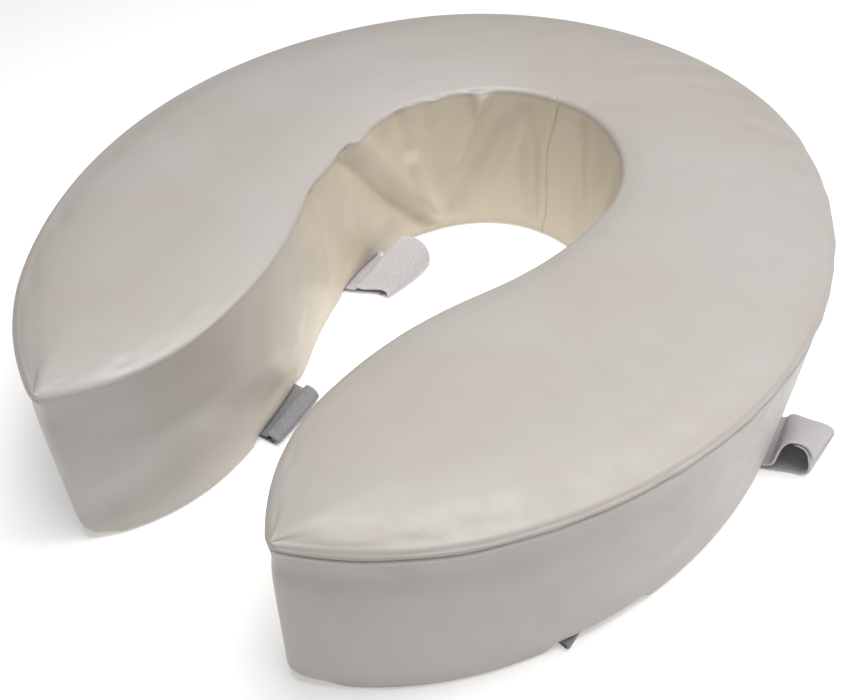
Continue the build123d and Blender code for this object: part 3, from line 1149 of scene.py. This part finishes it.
def vinyl_material():
    """Cream clouds and patches, a lighter, yellower inner wall of painted bounce light, wall feet
    painted darker towards the floor, seam lines darkened by painted shade and dirt, two sizes of
    grain and a soft clear film."""
    material, tree, shader = new_material("vinyl", 0.42, 0.45)
    place = add_node(tree, "ShaderNodeTexCoord").outputs["Object"]
    clouds = noise(tree, place, 9.0, 4.0)
    patches = noise(tree, place, 32.0, 5.0, 0.6)
    base = blend_colours(
        tree, stretch(tree, clouds, 0.35, 0.65), colour(187, 182, 179), colour(183, 177, 171)
    )
    below_seam = stretch(tree, stored(tree, "flat_height"), height - 2.5, height - 8)
    near_inner = stretch(tree, stored(tree, "from_inner"), 8.0, 0.0)
    # Painted bounce light: the inner wall below the seam is painted a lighter, yellower cream, fading
    # towards the points of the arms.
    inside = maths(tree, "MULTIPLY", below_seam, near_inner)
    place_inside = maths(tree, "ABSOLUTE", stored(tree, "along_inner"))
    inside = maths(tree, "MULTIPLY", inside, stretch(tree, place_inside, 150.0, 340.0, 1.0, 0.1))
    base = blend_colours(tree, inside, base, colour(212, 202, 184))
    # The foot of the walls is painted darker towards the floor, over its lowest 9 mm.
    foot = stretch(tree, stored(tree, "flat_height"), 9.0, 0.0, 0.0, 0.35)
    base = blend_colours(tree, foot, base, colour(176, 166, 150))
    base = blend_colours(
        tree, stretch(tree, patches, 0.55, 0.75, 0.0, 0.15), base, colour(184, 176, 164)
    )
    # The seam lines are darkened: partly painted shade in the seam grooves and partly dirt.
    ring_line = narrow_line(tree, "seam_gap", 0.7)
    ring_share = stretch(tree, stored(tree, "from_outer"), 2.0, 8.0, 1.0, 0.1)
    ring_line = maths(tree, "MULTIPLY", ring_line, ring_share)
    at_inner_wall = stretch(tree, stored(tree, "from_inner"), 3.0, 1.0)
    end_line = maths(tree, "MULTIPLY", narrow_line(tree, "closing_gap", 0.8), below_seam)
    end_line = maths(tree, "MULTIPLY", end_line, at_inner_wall)
    for line, share, shade in (
        (ring_line, 0.16, colour(128, 116, 100)), (end_line, 0.4, colour(168, 140, 100)),
    ):
        base = blend_colours(tree, maths(tree, "MULTIPLY", line, share), base, shade)
    tree.links.new(base, shader.inputs["Base Color"])
    rough = stretch(tree, noise(tree, place, 60.0, 4.0), 0.3, 0.7, 0.36, 0.50)
    rough = maths(tree, "ADD", rough, stretch(tree, clouds, 0.4, 0.7, 0.0, 0.06))
    tree.links.new(rough, shader.inputs["Roughness"])
    cells = add_node(
        tree, "ShaderNodeTexVoronoi", {"feature": "SMOOTH_F1"},
        Vector=place, Scale=1500.0, Smoothness=0.8, Randomness=0.9,
    ).outputs["Distance"]
    grain = bump(tree, cells, 0.00006, 0.5)
    grain = bump(tree, noise(tree, place, 700.0, 3.0), 0.00008, 0.4, grain)
    grain = bump(tree, noise(tree, place, 55.0, 3.0, 0.5), 0.0006, 0.16, grain)
    groove = maths(tree, "MULTIPLY", maths(tree, "ADD", ring_line, end_line), -1.0)
    grain = bump(tree, groove, 0.00018, 0.8, grain)
    tree.links.new(grain, shader.inputs["Normal"])
    shader.inputs["Coat Weight"].default_value = 0.12
    shader.inputs["Coat Roughness"].default_value = 0.38
    shader.inputs["Sheen Weight"].default_value = 0.05
    shader.inputs["Sheen Roughness"].default_value = 0.5
    return material


# %% [markdown]
# ## Tapes, thread and foam
# The loop tape is a knit ground with a fine pile; the hook tape is a flatter weave set with
# rows of hooks. Both have a plain selvage. Both patterns come from the strip's own distances,
# so the weave follows the tape round its bends. The foam is an open mass of small cells.

# %% Tape, thread and foam materials
def woven_waves(tree, along_pitch, across_pitch):
    """A plain weave: the product of two sine waves along and across the tape, in mm."""
    along = stored(tree, "tape_along")
    across = stored(tree, "tape_across")
    first = maths(tree, "SINE", maths(tree, "MULTIPLY", along, 2 * math.pi / along_pitch))
    second = maths(tree, "SINE", maths(tree, "MULTIPLY", across, 2 * math.pi / across_pitch))
    return maths(tree, "MULTIPLY", first, second)


def tape_material(name, light, dark, pile, along_pitch, across_pitch):
    """A woven tape: the weave shades and lifts, pile is the height of its fuzz in metres."""
    material, tree, shader = new_material(name, 0.8, 0.25)
    place = add_node(tree, "ShaderNodeTexCoord").outputs["Object"]
    weave = woven_waves(tree, along_pitch, across_pitch)
    fuzz = noise(tree, place, 900.0, 4.0, 0.7)
    shade = stretch(tree, maths(tree, "ADD", maths(tree, "MULTIPLY", weave, 0.2), fuzz), 0.3, 0.8)
    base = blend_colours(tree, shade, dark, light)
    soil = stretch(tree, noise(tree, place, 40.0, 4.0), 0.5, 0.8, 0.0, 0.25)
    base = blend_colours(tree, soil, base, dark)
    edge = maths(tree, "ABSOLUTE", stored(tree, "tape_across"))
    base = blend_colours(tree, stretch(tree, edge, 16.8, 17.5, 0.0, 0.4), base, light)
    tree.links.new(base, shader.inputs["Base Color"])
    tree.links.new(stretch(tree, fuzz, 0.3, 0.7, 0.72, 0.95), shader.inputs["Roughness"])
    lift = bump(tree, weave, 0.00012, 0.6)
    lift = bump(tree, fuzz, pile, 0.6, lift)
    tree.links.new(lift, shader.inputs["Normal"])
    shader.inputs["Sheen Weight"].default_value = 0.35
    shader.inputs["Sheen Roughness"].default_value = 0.4
    return material


def thread_material():
    """Twisted thread: slanting fine waves and a little fuzz."""
    material, tree, shader = new_material("thread", 0.6, 0.35)
    place = add_node(tree, "ShaderNodeTexCoord").outputs["Object"]
    twist = add_node(
        tree, "ShaderNodeTexWave", {"bands_direction": "DIAGONAL"},
        Vector=place, Scale=900.0, Distortion=2.0, Detail=1.0,
    ).outputs["Fac"]
    base = blend_colours(tree, twist, colour(205, 190, 160), colour(228, 218, 196))
    tree.links.new(base, shader.inputs["Base Color"])
    tree.links.new(stretch(tree, twist, 0.0, 1.0, 0.5, 0.7), shader.inputs["Roughness"])
    tree.links.new(bump(tree, twist, 0.0001, 0.6), shader.inputs["Normal"])
    shader.inputs["Sheen Weight"].default_value = 0.2
    return material


def foam_material():
    """Open-cell foam: pale yellow cells with pits darkened by painted shade."""
    material, tree, shader = new_material("foam", 0.95, 0.1)
    place = add_node(tree, "ShaderNodeTexCoord").outputs["Object"]
    cells = add_node(
        tree, "ShaderNodeTexVoronoi", {"feature": "F1"}, Vector=place, Scale=650.0
    ).outputs["Distance"]
    # The pits in the cells are painted darker: painted shade in the recesses.
    base = blend_colours(
        tree, stretch(tree, cells, 0.1, 0.6), colour(196, 178, 128), colour(232, 220, 180)
    )
    yellowed = stretch(tree, noise(tree, place, 14.0, 3.0), 0.4, 0.7, 0.0, 0.4)
    tree.links.new(
        blend_colours(tree, yellowed, base, colour(214, 190, 130)), shader.inputs["Base Color"]
    )
    tree.links.new(stretch(tree, cells, 0.0, 0.6, 0.85, 1.0), shader.inputs["Roughness"])
    tree.links.new(bump(tree, cells, 0.0006, 0.7), shader.inputs["Normal"])
    return material


# %% [markdown]
# ## Dressing the pieces
# The rear tapes are pale. The front ones are a darker grey, partly a greyer tape and partly
# painted shade for the shadow between the arms. The rows of stitches inside the seams are hidden
# in the real cover. The CAD bars stand for them, keep their meshes and take the thread's finish.

# %% Dress every piece
vinyl = vinyl_material()
loop_tape = tape_material(
    "loop_tape", colour(214, 211, 214), colour(186, 184, 188), 0.0002, 1.1, 0.9
)
hook_tape = tape_material(
    "hook_tape", colour(216, 213, 216), colour(186, 183, 187), 0.0001, 1.6, 1.3
)
# The front straps' darker grey is partly a greyer tape and partly painted shade, for the shadow that
# falls between the arms.
grey_tape_with_painted_shade = tape_material(
    "grey_tape_with_painted_shade", colour(160, 160, 164), colour(132, 132, 136), 0.0002, 1.1, 0.9
)
thread = thread_material()
foam_skin = foam_material()


def wear(piece, material):
    """Gives a piece only this material."""
    piece.data.materials.clear()
    piece.data.materials.append(material)


wear(cover, vinyl)
wear(foam, foam_skin)
for strap, (tab, sewn, run) in tapes.items():
    front = strap.endswith("front")
    wear(tab, grey_tape_with_painted_shade if front else hook_tape)
    wear(sewn, grey_tape_with_painted_shade if front else loop_tape)
    wear(run, grey_tape_with_painted_shade if front else loop_tape)
for piece in stitches + [frame["nodes"][n] for n in (
    "top_seam_thread", "base_seam_thread", "closing_seam_thread"
)]:
    wear(piece, thread)
print("materials:", len(bpy.data.materials))

# %% [markdown]
# ## Studio
# A pale floor and three soft lights. The strongest hangs overhead, a little to the right: it
# brightens the top and reaches down into the opening, while the front walls fall into shade. A
# weak one from the right lifts the outer wall, and one from behind gives the edges their satin
# gleam. The floor glows a little, as a lit studio sweep does.

# %% Light and floor
surround = 0.13
overhead_power = 7.1
side_power = 2.6
rim_power = 4.5
floor_white = 0.97
floor_glow = 0.33

floor = mesh_piece(
    "floor", [[-8, -8, 0], [8, -8, 0], [8, 8, 0], [-8, 8, 0]], [[0, 1, 2, 3]], smooth=False
)
floor_material, floor_tree, floor_shader = new_material("studio_floor", 0.9, 0.2)
floor_shader.inputs["Base Color"].default_value = (floor_white, floor_white, floor_white, 1)
floor_shader.inputs["Emission Color"].default_value = (1, 1, 1, 1)
floor_shader.inputs["Emission Strength"].default_value = floor_glow
wear(floor, floor_material)


def soft_light(name, place, aim, size, power, tint):
    """A square area light at place, turned to aim."""
    light = bpy.data.lights.new(name, "AREA")
    light.energy = power
    light.size = size
    light.color = tint
    holder = bpy.data.objects.new(name, light)
    holder.location = place
    holder.rotation_euler = (Vector(aim) - Vector(place)).to_track_quat("-Z", "Y").to_euler()
    bpy.context.collection.objects.link(holder)
    print(name, "light:", power, "W")


soft_light(
    "overhead", (0.10, -0.05, 0.95), (0.05, -0.05, 0), 0.5, overhead_power, (1.0, 0.99, 0.975)
)
soft_light("side", (1.5, 0.45, 0.33), (0, 0, 0.05), 0.6, side_power, (1.0, 0.99, 0.99))
soft_light("rim", (0.62, 0.50, 1.15), (0, 0, 0.05), 0.45, rim_power, (1.0, 0.99, 0.98))
bpy.context.scene.view_settings.view_transform = "Standard"
world = bpy.data.worlds.new("studio")
bpy.context.scene.world = world
world.use_nodes = True
background = world.node_tree.nodes["Background"]
background.inputs["Color"].default_value = (1.0, 1.0, 1.0, 1)
background.inputs["Strength"].default_value = surround

# %% [markdown]
# ## Size and finish
# The visual model stays the size of the imported one.

# %% Finish
bpy.context.view_layer.update()
